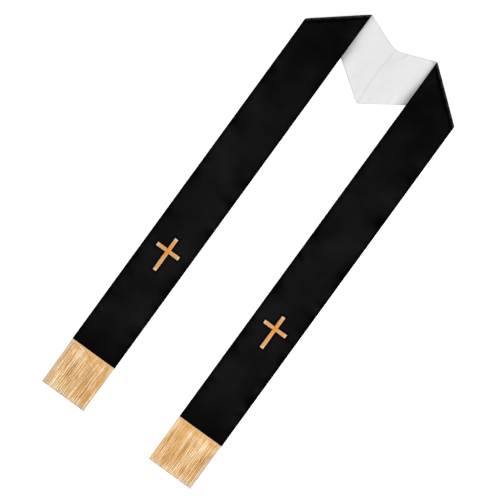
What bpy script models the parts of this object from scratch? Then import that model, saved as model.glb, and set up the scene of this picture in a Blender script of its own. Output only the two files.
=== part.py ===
"""Clerical stole laid flat: two lined satin halves joined at the centre back and folded over at the shoulder.

Metres, +Z up. The stole lies on Z = 0 with its neck towards +Y and its fringes towards -Y. Left is -X and
right is +X. The neck piece lies face down and shows its lining. Each front lies face up, folded over the end
of the neck piece, and carries a cross and a fringe.

Every point is worked out for a half at +X. The left half is the mirror image, but for its own puckers and for
the bow of the seam, which both halves share.
"""

import math
from dataclasses import dataclass
from typing import NamedTuple

import bmesh
import bpy
import numpy as np

# The fronts, seen from above
FRONT_WIDTH = 0.127
FRONT_OUTER_X = 0.225
FRONT_INNER_X = FRONT_OUTER_X - FRONT_WIDTH
HEM_Y = -0.4706

# The shoulder fold: where its outline meets the front's two edges
FOLD_INNER_Y = 0.5981
FOLD_OUTER_Y = 0.4943

# The neckline, the neck piece's upper edge
NECKLINE_MIDDLE_Y = 0.5634
NECKLINE_SLOPE = 0.40
NECKLINE_ROUNDING = 0.012

# The back point, the neck piece's lower edge, and its turn to the shoulder under the front
POINT_MIDDLE_Y = 0.4016
POINT_SLOPE = 0.705
POINT_ROUNDING = 0.003
SHOULDER_TURN_X = 0.0985
SHOULDER_SLOPE = 0.2023
SHOULDER_ROUNDING = 0.004

# The centre-back seam, which bows a little towards -X
SEAM_SHIFT = -0.001
SEAM_BOW = 0.005
SEAM_BOW_FADE = 3.0
NECK_FAN = 1.8

# The cloth
FACE_THICKNESS = 0.0012
FACE_CROWN_THICKNESS = 0.0016
LINING_THICKNESS = 0.0010
CLOTH_GAP = 0.0003
HALF_GAP = CLOTH_GAP / 2
NECK_MIDDLE_Z = FACE_THICKNESS + HALF_GAP
FRONT_MIDDLE_Z = LINING_THICKNESS + HALF_GAP

# Every cloth starts as a flat grid that reaches this far to each side of its middle
GRID_REACH = 0.5

# How many places along an edge are tried to find the one at a given depth
EDGE_SAMPLES = 500

# Shading and sorting of faces
SHARP_ANGLE = math.radians(50)
BEVEL_ANGLE = math.radians(60)
FACING = 0.9

# Where the grid's lines run across the band, measured from its nearer edge, and each wall's thickness there
EDGE_INSETS = np.array([0.0, 0.0025, 0.008, 0.022, FRONT_WIDTH / 2])
NECK_FACE_PROFILE = np.array([0.0008, 0.00105, FACE_THICKNESS, FACE_THICKNESS, FACE_THICKNESS])
FRONT_FACE_PROFILE = np.array([0.0009, 0.00125, 0.00145, 0.00145, FACE_CROWN_THICKNESS])
LINING_PROFILE = np.array([0.0007, 0.0009, LINING_THICKNESS, LINING_THICKNESS, LINING_THICKNESS])
DIP_PROFILE = np.array([0.3, 0.6, 1.0, 0.0, 0.0])
SEAM_THINNING = 0.75
SEAM_INSET = 0.0025

# How far a pucker draws the front's edge in, as a share of its depth
EDGE_PULL = 0.4

# The roll of the shoulder fold, and how the front comes down from it
ROLL_RADIUS = 0.0026
ROLL_OUTSIDE = ROLL_RADIUS + HALF_GAP + FACE_THICKNESS
ROLL_STEPS = 6
ROLL_FALL = 0.009
LIFT = 0.0032
VALLEY = 0.00025
VALLEY_DEPTH = 0.0115
VALLEY_WIDTH = 0.004
SETTLE_START = 0.002
SETTLE_LENGTH = 0.075
ARCH = 0.0024
ARCH_Y = 0.487
ARCH_REACH_X = 0.028
ARCH_REACH_Y = 0.055

# Where the lines across the band lie
LEVEL_Y = 0.330
NECK_STEPS = 10
TURN_DROPS = (0.0075, 0.0105, 0.014, 0.0185, 0.025, 0.035, 0.048, 0.062, 0.078, 0.095, 0.113, 0.131, 0.148)
CROWN_DROP = 0.095
LINING_LEVEL_YS = (LEVEL_Y, 0.0, HEM_Y + SEAM_INSET, HEM_Y)

# The fringe
FRINGE_GAP = 0.0003
HEADING_HEIGHT = 0.0127
HEADING_THICKNESS = 0.0018
FRINGE_END_Y = -0.5982
STRANDS = 100
STRAND_SHARE = 0.74
STRAND_END_SHARE = 0.86
STRAND_STEPS = (0.10, 0.52, 1.0)
STRAND_THICKNESS = 0.0008
STRAND_LAYERS_Z = (0.00058, 0.00128)
STRAND_SWAY = 0.0008
STRAND_SWAY_LENGTH = 0.075
STRAND_SWAY_DRIFT = 0.021
STRAND_SWAY_BUNCH = 0.017
STRAND_SWAY_BUNCHING = 0.9
STRAND_TRIM = 0.0005
STRAND_TRIM_TURN = 2.3

# The cross, an embroidered Latin cross
CROSS_X = FRONT_INNER_X + FRONT_WIDTH / 2
CROSS_Y = -0.1618
CROSS_TOP = 0.0363
CROSS_FOOT = -0.0571
CROSS_ARM = 0.0325
CROSS_HALF_BAR = 0.0049
CROSS_EDGE_THICKNESS = 0.0010
CROSS_RIDGE_THICKNESS = 0.0015
CROSS_ROUNDING = 0.0003


class Pucker(NamedTuple):
    """One place along the fronts where the seams draw the face in, and how deep at each of the four edges."""

    y: float
    left_outer: float
    left_inner: float
    right_inner: float
    right_outer: float


# Placed by eye, from enlarged views of the photograph beside a ruler
PUCKERS = (
    Pucker(0.315, 0.0004, 0.0, 0.0, 0.00045),
    Pucker(0.280, 0.0, 0.0003, 0.00035, 0.0002),
    Pucker(0.236, 0.0002, 0.0, 0.00025, 0.0),
    Pucker(0.194, 0.0004, 0.0002, 0.0, 0.00045),
    Pucker(0.134, 0.0, 0.0002, 0.0002, 0.0),
    Pucker(0.079, 0.0003, 0.00035, 0.0004, 0.0003),
    Pucker(0.037, 0.0003, 0.0, 0.0, 0.00045),
    Pucker(0.022, 0.0, 0.0005, 0.0004, 0.0),
    Pucker(0.007, 0.00025, 0.0, 0.0002, 0.0003),
    Pucker(-0.046, 0.0002, 0.0002, 0.0, 0.00035),
    Pucker(-0.068, 0.0, 0.00045, 0.0004, 0.0),
    Pucker(-0.086, 0.00045, 0.0, 0.0002, 0.00045),
    Pucker(-0.133, 0.0004, 0.0002, 0.0, 0.00035),
    Pucker(-0.171, 0.0, 0.0002, 0.0003, 0.00025),
    Pucker(-0.215, 0.00035, 0.00035, 0.0004, 0.00045),
    Pucker(-0.248, 0.00025, 0.0005, 0.00045, 0.0002),
    Pucker(-0.280, 0.0003, 0.0002, 0.0, 0.0004),
    Pucker(-0.326, 0.00045, 0.0, 0.0002, 0.0004),
    Pucker(-0.353, 0.0002, 0.0002, 0.0004, 0.0004),
    Pucker(-0.379, 0.0, 0.00045, 0.00035, 0.00025),
    Pucker(-0.413, 0.0002, 0.0004, 0.00025, 0.0002),
    Pucker(-0.443, 0.00025, 0.0002, 0.00025, 0.0003),
)


@dataclass
class Rung:
    """A line across the band, midway between face and lining, and the face's shape on it."""

    points: np.ndarray
    crown: float = 0.0
    inner_dip: float = 0.0
    outer_dip: float = 0.0
    thinning: float = 1.0


def clear_scene():
    """Remove whatever the scene starts with."""
    for item in list(bpy.data.objects):
        bpy.data.objects.remove(item, do_unlink=True)


def ease(amount):
    """Go smoothly from 0 to 1 while amount does."""
    amount = np.clip(amount, 0.0, 1.0)
    return amount * amount * (3.0 - 2.0 * amount)


def mirrored(values):
    """A profile from the inner edge to the middle, followed by its mirror image out to the other edge."""
    return np.concatenate([values, values[-2::-1]])


ACROSS = np.concatenate([EDGE_INSETS, FRONT_WIDTH - EDGE_INSETS[-2::-1]]) / FRONT_WIDTH

FOLD_LENGTH = math.hypot(FRONT_WIDTH, FOLD_INNER_Y - FOLD_OUTER_Y)
FOLD_INWARD = np.array([FOLD_OUTER_Y - FOLD_INNER_Y, -FRONT_WIDTH]) / FOLD_LENGTH


def fold_depth(x, y):
    """How far a place seen from above lies inside the outline of the shoulder fold."""
    return (x - FRONT_INNER_X) * FOLD_INWARD[0] + (y - FOLD_INNER_Y) * FOLD_INWARD[1]


def soft_corner(distance, rounding):
    """The distance from a corner's middle, with the corner itself rounded."""
    return np.sqrt(distance * distance + rounding * rounding) - rounding


def neckline_y(x):
    """The neck piece's upper edge."""
    return NECKLINE_MIDDLE_Y + NECKLINE_SLOPE * soft_corner(x, NECKLINE_ROUNDING)


def point_y(x):
    """The neck piece's lower edge: steep at the back point, then flatter under the front."""
    past = x - SHOULDER_TURN_X
    turned = (past + np.sqrt(past * past + SHOULDER_ROUNDING**2)) / 2
    rise = POINT_SLOPE * soft_corner(x, POINT_ROUNDING)
    return POINT_MIDDLE_Y + rise - (POINT_SLOPE - SHOULDER_SLOPE) * turned


def edge_at_depth(edge_y, end_x, depth):
    """The point of one of the neck piece's edges that lies at that depth from the fold."""
    xs = np.linspace(end_x, 0.0, EDGE_SAMPLES)
    x = np.interp(depth, fold_depth(xs, edge_y(xs)), xs)
    return np.array([x, edge_y(x)])


def front_height(x, y):
    """The height of the front's seam level: over the neck piece's end, then down on the surface below it."""
    depth = fold_depth(x, y)
    settled = ease(((point_y(x) - y) - SETTLE_START) / SETTLE_LENGTH)
    roll_top = NECK_MIDDLE_Z + 2 * ROLL_RADIUS - FRONT_MIDDLE_Z - LIFT
    roll = roll_top * (1.0 - ease((depth - ROLL_OUTSIDE) / ROLL_FALL))
    valley = VALLEY * np.exp(-(((depth - VALLEY_DEPTH) / VALLEY_WIDTH) ** 2))
    sideways = ((x - FRONT_INNER_X) / ARCH_REACH_X) ** 2
    along = ((y - ARCH_Y) / ARCH_REACH_Y) ** 2
    arch = ARCH * np.exp(-sideways - along)
    return FRONT_MIDDLE_Z + (LIFT + roll - valley + arch) * (1.0 - settled)


def across(start, end):
    """Points from start to end, seen from above, one for each line of the grid."""
    return start + (end - start) * ACROSS[:, None]


def neck_rung(progress, side):
    """A rung of the neck piece, from the shoulder roll at progress 0 to the centre-back seam at 1."""
    top_depth = ROLL_OUTSIDE + (fold_depth(0.0, NECKLINE_MIDDLE_Y) - ROLL_OUTSIDE) * progress
    fan = fold_depth(0.0, POINT_MIDDLE_Y) - fold_depth(0.0, NECKLINE_MIDDLE_Y)
    top = edge_at_depth(neckline_y, FRONT_INNER_X, top_depth)
    low = edge_at_depth(point_y, FRONT_OUTER_X, top_depth + fan * progress**NECK_FAN)
    plan = across(top, low)
    seam = side * (SEAM_SHIFT - SEAM_BOW * np.sin(np.pi * ACROSS)) + HALF_GAP
    plan[:, 0] += seam * progress**SEAM_BOW_FADE
    return np.column_stack([plan, np.full(len(ACROSS), NECK_MIDDLE_Z)])


def roll_rung(angle):
    """A rung of the shoulder roll, from 0 where it leaves the neck piece to pi where the front begins."""
    depth = ROLL_OUTSIDE - ROLL_RADIUS * math.sin(angle)
    drop = depth / -FOLD_INWARD[1]
    share = angle / math.pi
    neck_top = edge_at_depth(neckline_y, FRONT_INNER_X, depth)
    neck_low = edge_at_depth(point_y, FRONT_OUTER_X, depth)
    front_inner = np.array([FRONT_INNER_X, FOLD_INNER_Y - drop])
    front_outer = np.array([FRONT_OUTER_X, FOLD_OUTER_Y - drop])
    start = neck_top + (front_inner - neck_top) * share
    end = neck_low + (front_outer - neck_low) * share
    height = NECK_MIDDLE_Z + ROLL_RADIUS * (1.0 - math.cos(angle))
    return np.column_stack([across(start, end), np.full(len(ACROSS), height)])


def front_rung(outer_y):
    """A rung of the front, in line with the fold at the top and level from LEVEL_Y down."""
    lean = FOLD_INNER_Y - FOLD_OUTER_Y
    turned = ease((FOLD_OUTER_Y - outer_y) / (FOLD_OUTER_Y - LEVEL_Y))
    inner_y = outer_y + lean * (1.0 - turned)
    plan = across(np.array([FRONT_INNER_X, inner_y]), np.array([FRONT_OUTER_X, outer_y]))
    return np.column_stack([plan, front_height(plan[:, 0], plan[:, 1])])


def pucker_rung(y, inner, outer):
    """A rung of the front whose two edges are drawn in a little by a pucker."""
    points = front_rung(y)
    points[0, 0] += EDGE_PULL * inner
    points[-1, 0] -= EDGE_PULL * outer
    return Rung(points, crown=1.0, inner_dip=inner, outer_dip=outer)


def bent_rungs(side):
    """The rungs that face and lining share, from the centre-back seam over the roll to the level front."""
    neck_length = fold_depth(0.0, NECKLINE_MIDDLE_Y) - ROLL_OUTSIDE
    rungs = [Rung(neck_rung(1.0, side), thinning=SEAM_THINNING)]
    rungs.append(Rung(neck_rung(1.0 - SEAM_INSET / neck_length, side)))
    rungs += [Rung(neck_rung(step / NECK_STEPS, side)) for step in range(NECK_STEPS - 1, 0, -1)]
    rungs += [Rung(roll_rung(math.pi * step / ROLL_STEPS)) for step in range(ROLL_STEPS + 1)]
    for drop in TURN_DROPS:
        rungs.append(Rung(front_rung(FOLD_OUTER_Y - drop), crown=float(ease(drop / CROWN_DROP))))
    return rungs


def face_rungs(side):
    """All rungs of a face: the bent ones, then one at each pucker and one between each two."""
    rungs = bent_rungs(side)
    rungs.append(Rung(front_rung(LEVEL_Y), crown=1.0))
    above = LEVEL_Y
    for pucker in PUCKERS:
        inner = pucker.right_inner if side > 0 else pucker.left_inner
        outer = pucker.right_outer if side > 0 else pucker.left_outer
        rungs.append(Rung(front_rung((above + pucker.y) / 2), crown=1.0))
        rungs.append(pucker_rung(pucker.y, inner, outer))
        above = pucker.y
    rungs.append(Rung(front_rung(HEM_Y + SEAM_INSET), crown=1.0))
    rungs.append(Rung(front_rung(HEM_Y), crown=1.0, thinning=SEAM_THINNING))
    return rungs


def lining_rungs(side):
    """All rungs of a lining: it is plain where the front is level."""
    rungs = bent_rungs(side)
    rungs += [Rung(front_rung(y)) for y in LINING_LEVEL_YS[:-1]]
    rungs.append(Rung(front_rung(LINING_LEVEL_YS[-1]), thinning=SEAM_THINNING))
    return rungs


def face_thickness(rung):
    """The face's thickness along a rung: fuller in the middle of the fronts, drawn in at a pucker."""
    profile = NECK_FACE_PROFILE + (FRONT_FACE_PROFILE - NECK_FACE_PROFILE) * rung.crown
    inner = DIP_PROFILE * rung.inner_dip
    outer = DIP_PROFILE * rung.outer_dip
    dips = np.concatenate([inner, outer[-2::-1]])
    return mirrored(profile) * rung.thinning - dips


def lining_thickness(rung):
    """The lining's thickness along a rung."""
    return mirrored(LINING_PROFILE) * rung.thinning


def flat_grid(columns, rows):
    """A flat grid, and each of its vertices with the column and row that it stands in."""
    bm = bmesh.new()
    bmesh.ops.create_grid(bm, x_segments=columns - 1, y_segments=rows - 1, size=GRID_REACH)
    bm.verts.index_update()
    places = []
    for vert in bm.verts:
        column = round((vert.co.x + GRID_REACH) / (2 * GRID_REACH) * (columns - 1))
        row = round((vert.co.y + GRID_REACH) / (2 * GRID_REACH) * (rows - 1))
        places.append((vert, column, row))
    return bm, places


def material(name, colour, roughness, metallic=0.0, sheen=0.0):
    """A Principled material of one colour."""
    made = bpy.data.materials.new(name)
    made.use_nodes = True
    shader = made.node_tree.nodes["Principled BSDF"]
    shader.inputs["Base Color"].default_value = (*colour, 1.0)
    shader.inputs["Roughness"].default_value = roughness
    shader.inputs["Metallic"].default_value = metallic
    shader.inputs["Sheen Weight"].default_value = sheen
    made.diffuse_color = (*colour, 1.0)
    return made


def add_object(name, bm, look, collection):
    """Turn a bmesh into a named object in the stole's collection."""
    mesh = bpy.data.meshes.new(name)
    bm.to_mesh(mesh)
    bm.free()
    mesh.shade_smooth()
    mesh.set_sharp_from_angle(angle=SHARP_ANGLE)
    mesh.materials.append(look)
    made = bpy.data.objects.new(name, mesh)
    collection.objects.link(made)
    return made


def thicken(made, thicknesses, outward):
    """Give an open sheet its own thickness at each vertex, away from the seam when outward is 1."""
    full = max(thicknesses)
    group = made.vertex_groups.new(name="thickness")
    for index, thickness in enumerate(thicknesses):
        group.add([index], thickness / full, "REPLACE")
    solid = made.modifiers.new("cloth", "SOLIDIFY")
    solid.thickness = full
    solid.offset = outward
    solid.vertex_group = group.name
    solid.thickness_vertex_group = 0.0


def cloth_wall(name, rungs, thickness_of, side, outward, look, collection):
    """A face or a lining: a grid bent along the band, set off the seam level and made solid."""
    bm, places = flat_grid(len(ACROSS), len(rungs))
    profiles = [thickness_of(rung) for rung in rungs]
    thicknesses = [float(profiles[row][column]) for _, column, row in places]
    for vert, column, row in places:
        x, y, z = rungs[row].points[column]
        vert.co = (side * x, y, z)
    if side > 0:
        bmesh.ops.reverse_faces(bm, faces=bm.faces)
    made = add_object(name, bm, look, collection)
    seam = made.modifiers.new("seam gap", "DISPLACE")
    seam.strength = outward * HALF_GAP
    seam.mid_level = 0.0
    thicken(made, thicknesses, outward)
    return made


def face_top(x):
    """The height of the face of a level front, across its width."""
    profile = mirrored(FRONT_FACE_PROFILE)
    thickness = np.interp(x - FRONT_INNER_X, ACROSS * FRONT_WIDTH, profile)
    return FRONT_MIDDLE_Z + HALF_GAP + thickness


def cross_solid(name, side, look, collection):
    """A Latin cross that follows the face just above it, with a ridge along the middle of each bar."""
    xs = (-CROSS_ARM, -CROSS_ARM / 2, -CROSS_HALF_BAR, 0.0, CROSS_HALF_BAR, CROSS_ARM / 2, CROSS_ARM)
    ys = (CROSS_FOOT, CROSS_FOOT / 2, -CROSS_HALF_BAR, 0.0, CROSS_HALF_BAR, CROSS_TOP / 2, CROSS_TOP)
    bm, places = flat_grid(len(xs), len(ys))
    for vert, column, row in places:
        x = CROSS_X + xs[column]
        vert.co = (side * x, CROSS_Y + ys[row], float(face_top(x)) + CLOTH_GAP)
    spare = []
    for cell in bm.faces:
        middle = cell.calc_center_median()
        beside_post = abs(abs(middle.x) - CROSS_X) > CROSS_HALF_BAR
        beyond_bar = abs(middle.y - CROSS_Y) > CROSS_HALF_BAR
        if beside_post and beyond_bar:
            spare.append(cell)
    bmesh.ops.delete(bm, geom=spare, context="FACES")
    if side < 0:
        bmesh.ops.reverse_faces(bm, faces=bm.faces)
    thicknesses = []
    for vert, column, row in places:
        if vert.is_valid:
            x, y = xs[column], ys[row]
            at_end = x in (xs[0], xs[-1]) or y in (ys[0], ys[-1])
            on_ridge = (x == 0.0 or y == 0.0) and not at_end
            thicknesses.append(CROSS_RIDGE_THICKNESS if on_ridge else CROSS_EDGE_THICKNESS)
    made = add_object(name, bm, look, collection)
    thicken(made, thicknesses, 1.0)
    rounding = made.modifiers.new("rounded edges", "BEVEL")
    rounding.width = CROSS_ROUNDING
    rounding.segments = 1
    rounding.limit_method = "ANGLE"
    rounding.angle_limit = BEVEL_ANGLE
    return made


def strand_ring(index, share):
    """The middle, width and thickness of a strand at a share of its length, for a half at +X."""
    pitch = FRONT_WIDTH / STRANDS
    root_y = HEM_Y - FRINGE_GAP - HEADING_HEIGHT
    trim = STRAND_TRIM * math.sin(index * STRAND_TRIM_TURN) ** 2
    length = root_y - FRINGE_END_Y - trim
    from_edge = (index + 0.5) * pitch
    bunching = STRAND_SWAY_BUNCHING * math.sin(from_edge / STRAND_SWAY_BUNCH)
    phase = from_edge / STRAND_SWAY_DRIFT + bunching
    edge_room = math.sin(math.pi * from_edge / FRONT_WIDTH)
    bend = math.sin(2 * math.pi * share * length / STRAND_SWAY_LENGTH + phase)
    sway = STRAND_SWAY * edge_room * share * bend
    layer = STRAND_LAYERS_Z[index % 2]
    heading_middle = HEADING_THICKNESS / 2
    height = heading_middle + (layer - heading_middle) * min(1.0, share / STRAND_STEPS[0])
    width = pitch * (STRAND_SHARE + (STRAND_END_SHARE - STRAND_SHARE) * share)
    middle = (FRONT_INNER_X + from_edge + sway, root_y - share * length, height)
    return middle, width, STRAND_THICKNESS


def fringe_solid(name, side, look, collection):
    """A fringe: a flat heading whose lower end runs out into separate strands, cut off straight."""
    pitch = FRONT_WIDTH / STRANDS
    root_y = HEM_Y - FRINGE_GAP - HEADING_HEIGHT
    cuts = [0.0]
    for index in range(STRANDS):
        middle = (index + 0.5) * pitch
        cuts += [middle - pitch * STRAND_SHARE / 2, middle + pitch * STRAND_SHARE / 2]
    cuts.append(FRONT_WIDTH)
    bm, places = flat_grid(len(cuts), 2)
    for vert, column, row in places:
        vert.co = (FRONT_INNER_X + cuts[column], root_y, row * HEADING_THICKNESS)
    end_cells = sorted(bm.faces, key=lambda cell: cell.calc_center_median().x)
    extruded = bmesh.ops.extrude_face_region(bm, geom=end_cells, use_keep_orig=True)
    for item in extruded["geom"]:
        if isinstance(item, bmesh.types.BMVert):
            item.co.y += HEADING_HEIGHT
    bmesh.ops.recalc_face_normals(bm, faces=bm.faces)
    for axis, sign in (("z", 1), ("z", -1), ("y", 1)):
        plain = [cell for cell in bm.faces if getattr(cell.normal, axis) * sign > FACING]
        bmesh.ops.dissolve_faces(bm, faces=plain, use_verts=True)
    tips = [cell for cell in bm.faces if cell.normal.y < -FACING]
    tips = sorted(tips, key=lambda cell: cell.calc_center_median().x)[1::2]
    for share in STRAND_STEPS:
        grown = bmesh.ops.extrude_discrete_faces(bm, faces=tips)["faces"]
        tips = sorted(grown, key=lambda cell: cell.calc_center_median().x)
        for index, tip in enumerate(tips):
            middle, width, thickness = strand_ring(index, share)
            centre = tip.calc_center_median()
            for vert in tip.verts:
                across_sign = math.copysign(0.5, vert.co.x - centre.x)
                upward_sign = math.copysign(0.5, vert.co.z - centre.z)
                vert.co = (middle[0] + across_sign * width, middle[1], middle[2] + upward_sign * thickness)
    for vert in bm.verts:
        vert.co.x *= side
    if side < 0:
        bmesh.ops.reverse_faces(bm, faces=bm.faces)
    return add_object(name, bm, look, collection)


def main():
    """Build the stole's eight pieces."""
    clear_scene()
    collection = bpy.data.collections.new("clerical_stole")
    bpy.context.scene.collection.children.link(collection)
    satin = material("black_satin", (0.008, 0.008, 0.009), 0.42, sheen=0.2)
    white = material("white_lining", (0.80, 0.80, 0.79), 0.5)
    gold = material("gold_fringe", (0.75, 0.47, 0.20), 0.55, metallic=0.15)
    thread = material("gold_thread", (0.82, 0.44, 0.14), 0.4, metallic=0.2)
    for label, side in (("left", -1), ("right", 1)):
        cloth_wall(f"{label}_face", face_rungs(side), face_thickness, side, 1.0, satin, collection)
        cloth_wall(f"{label}_lining", lining_rungs(side), lining_thickness, side, -1.0, white, collection)
        cross_solid(f"{label}_cross", side, thread, collection)
        fringe_solid(f"{label}_fringe", side, gold, collection)


main()
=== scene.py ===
"""The look of a clerical stole laid flat: fine cloth, embroidery and fringe on the part's own sizes.

Metres, +Z up, in the part's frame: the neck lies towards +Y, the fringes towards -Y, and left is -X. Every
piece is worked out for a half at +X and mirrored for the left one, with creases and yarns of its own.
"""

import logging
import math
from dataclasses import dataclass, field
from enum import Enum
from typing import NamedTuple

import bpy
import numpy as np
from mathutils import Matrix

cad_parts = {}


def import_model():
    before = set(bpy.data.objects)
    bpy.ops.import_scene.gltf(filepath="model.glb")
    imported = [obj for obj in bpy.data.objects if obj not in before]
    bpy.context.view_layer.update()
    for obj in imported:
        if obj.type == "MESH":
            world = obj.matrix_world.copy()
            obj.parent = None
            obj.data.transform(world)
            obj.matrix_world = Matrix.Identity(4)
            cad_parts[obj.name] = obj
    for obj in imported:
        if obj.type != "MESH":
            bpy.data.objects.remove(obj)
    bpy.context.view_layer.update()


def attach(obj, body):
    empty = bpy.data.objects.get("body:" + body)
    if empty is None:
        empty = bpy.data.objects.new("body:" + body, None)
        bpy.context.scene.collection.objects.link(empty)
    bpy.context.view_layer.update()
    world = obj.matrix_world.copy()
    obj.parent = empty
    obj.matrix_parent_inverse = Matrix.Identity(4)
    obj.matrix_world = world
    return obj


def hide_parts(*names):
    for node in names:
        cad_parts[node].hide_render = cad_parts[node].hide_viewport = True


LOG = logging.getLogger("stole")
MM = 0.001

Array = np.ndarray
Socket = bpy.types.NodeSocket
Colour = tuple[float, float, float]


class Option(Enum):
    """A choice that pieces are named after."""

    @property
    def label(self) -> str:
        """The choice's name in small letters."""
        return self.name.lower()


class Side(Option):
    """A half of the stole, seen from above with the neck up, and the sign of its X."""

    LEFT = -1
    RIGHT = 1


class Layer(Option):
    """A layer of cloth, and which way it lies from the seam level."""

    FACE = 1
    LINING = -1


class Crease(NamedTuple):
    """A pucker at a front's edge, or a puff if its depth is negative, in millimetres but for the slant."""

    y: float
    depth: float
    reach: float
    width: float
    slant: float


class Dent(NamedTuple):
    """A soft hollow, or a ridge if its depth is negative, in the neck piece's lining, in millimetres."""

    x: float
    y: float
    depth: float
    length: float
    width: float
    heading_deg: float


class Patch(NamedTuple):
    """A deep amber patch in a fringe, or a pale one if its depth is negative, in millimetres at +X."""

    x: float
    y: float
    width: float
    length: float
    depth: float


# The creases, dents and patches are placed from enlarged views of the photograph
LEFT_OUTER_CREASES = (
    Crease(352, 0.45, 14, 5.0, -0.30),
    Crease(333, 0.30, 12, 4.0, 0.50),
    Crease(313, 0.45, 15, 6.0, -0.10),
    Crease(259, 0.20, 12, 5.0, -0.40),
    Crease(193, 0.55, 20, 6.0, -0.25),
    Crease(73, 0.40, 11, 5.0, 0.10),
    Crease(33, 0.45, 13, 6.0, -0.20),
    Crease(7, 0.30, 20, 6.0, -0.35),
    Crease(-40, 0.30, 10, 3.0, 0.20),
    Crease(-84, 0.45, 25, 7.0, 0.10),
    Crease(-133, 0.30, 12, 3.0, -0.20),
    Crease(-172, 0.25, 14, 5.0, -0.10),
    Crease(-206, 0.25, 12, 4.0, 0.30),
    Crease(-218, 0.50, 18, 6.0, -0.20),
    Crease(-249, 0.40, 22, 6.0, -0.50),
    Crease(-275, 0.35, 12, 5.0, 0.10),
    Crease(-293, 0.40, 14, 5.0, -0.30),
    Crease(-329, 0.50, 18, 5.0, 0.25),
    Crease(-345, 0.25, 15, 5.0, 0.0),
    Crease(-378, 0.25, 9, 4.0, -0.20),
    Crease(-418, 0.20, 14, 7.0, 0.10),
    Crease(370, -0.25, 12, 5.0, 0.0),
    Crease(163, -0.20, 14, 5.0, -0.30),
    Crease(62, -0.20, 10, 4.0, 0.0),
    Crease(-262, -0.20, 12, 4.0, 0.10),
    Crease(-308, -0.30, 10, 4.0, 0.0),
    Crease(-369, -0.30, 12, 4.0, -0.20),
    Crease(-398, -0.25, 10, 4.0, 0.0),
)

LEFT_INNER_CREASES = (
    Crease(384, 0.35, 17, 5.0, -0.30),
    Crease(371, 0.30, 12, 4.0, -0.50),
    Crease(340, 0.20, 9, 4.0, 0.10),
    Crease(287, 0.40, 19, 4.0, -0.30),
    Crease(275, 0.40, 14, 4.0, -0.40),
    Crease(236, 0.20, 12, 4.0, -0.20),
    Crease(190, 0.25, 18, 7.0, -0.10),
    Crease(144, 0.20, 12, 5.0, -0.10),
    Crease(112, 0.25, 18, 4.0, 0.40),
    Crease(81, 0.45, 19, 5.0, -0.30),
    Crease(24, 0.60, 20, 6.0, -0.15),
    Crease(-20, 0.20, 12, 4.0, 0.20),
    Crease(-67, 0.50, 16, 6.0, -0.30),
    Crease(-168, 0.40, 18, 5.0, 0.10),
    Crease(-214, 0.45, 13, 6.0, -0.20),
    Crease(-248, 0.60, 17, 6.0, -0.15),
    Crease(-292, 0.35, 12, 5.0, -0.10),
    Crease(-331, 0.35, 11, 5.0, 0.0),
    Crease(-354, 0.40, 17, 4.0, -0.10),
    Crease(-379, 0.55, 21, 5.0, 0.15),
    Crease(-414, 0.50, 20, 5.0, -0.10),
    Crease(45, -0.20, 12, 5.0, 0.0),
    Crease(-50, -0.20, 14, 5.0, 0.10),
    Crease(-342, -0.25, 14, 5.0, 0.0),
    Crease(-395, -0.25, 12, 4.0, -0.10),
)

RIGHT_INNER_CREASES = (
    Crease(388, 0.30, 9, 4.0, 0.20),
    Crease(346, 0.25, 18, 5.0, -0.30),
    Crease(291, 0.30, 11, 4.0, 0.0),
    Crease(277, 0.40, 18, 6.0, -0.30),
    Crease(258, 0.35, 12, 3.0, -0.40),
    Crease(214, 0.25, 12, 4.0, 0.10),
    Crease(187, 0.30, 15, 6.0, -0.20),
    Crease(155, 0.25, 14, 4.0, -0.10),
    Crease(131, 0.35, 10, 4.0, 0.10),
    Crease(107, 0.30, 16, 4.0, -0.10),
    Crease(87, 0.50, 16, 5.0, -0.45),
    Crease(24, 0.55, 18, 5.0, -0.60),
    Crease(-12, 0.30, 16, 5.0, -0.20),
    Crease(-66, 0.50, 19, 7.0, -0.50),
    Crease(-86, 0.35, 16, 4.0, -0.20),
    Crease(-172, 0.40, 11, 4.0, -0.20),
    Crease(-213, 0.40, 13, 5.0, 0.20),
    Crease(-250, 0.60, 19, 6.0, -0.60),
    Crease(-284, 0.25, 16, 4.0, 0.10),
    Crease(-328, 0.25, 14, 7.0, 0.0),
    Crease(-351, 0.50, 20, 5.0, 0.05),
    Crease(-376, 0.50, 13, 4.0, -0.10),
    Crease(-411, 0.35, 11, 5.0, 0.20),
    Crease(246, -0.25, 10, 4.0, 0.0),
    Crease(47, -0.25, 8, 4.0, 0.0),
    Crease(-200, -0.20, 10, 5.0, -0.20),
    Crease(-340, -0.25, 11, 5.0, 0.10),
    Crease(-395, -0.30, 9, 5.0, 0.0),
)

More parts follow.
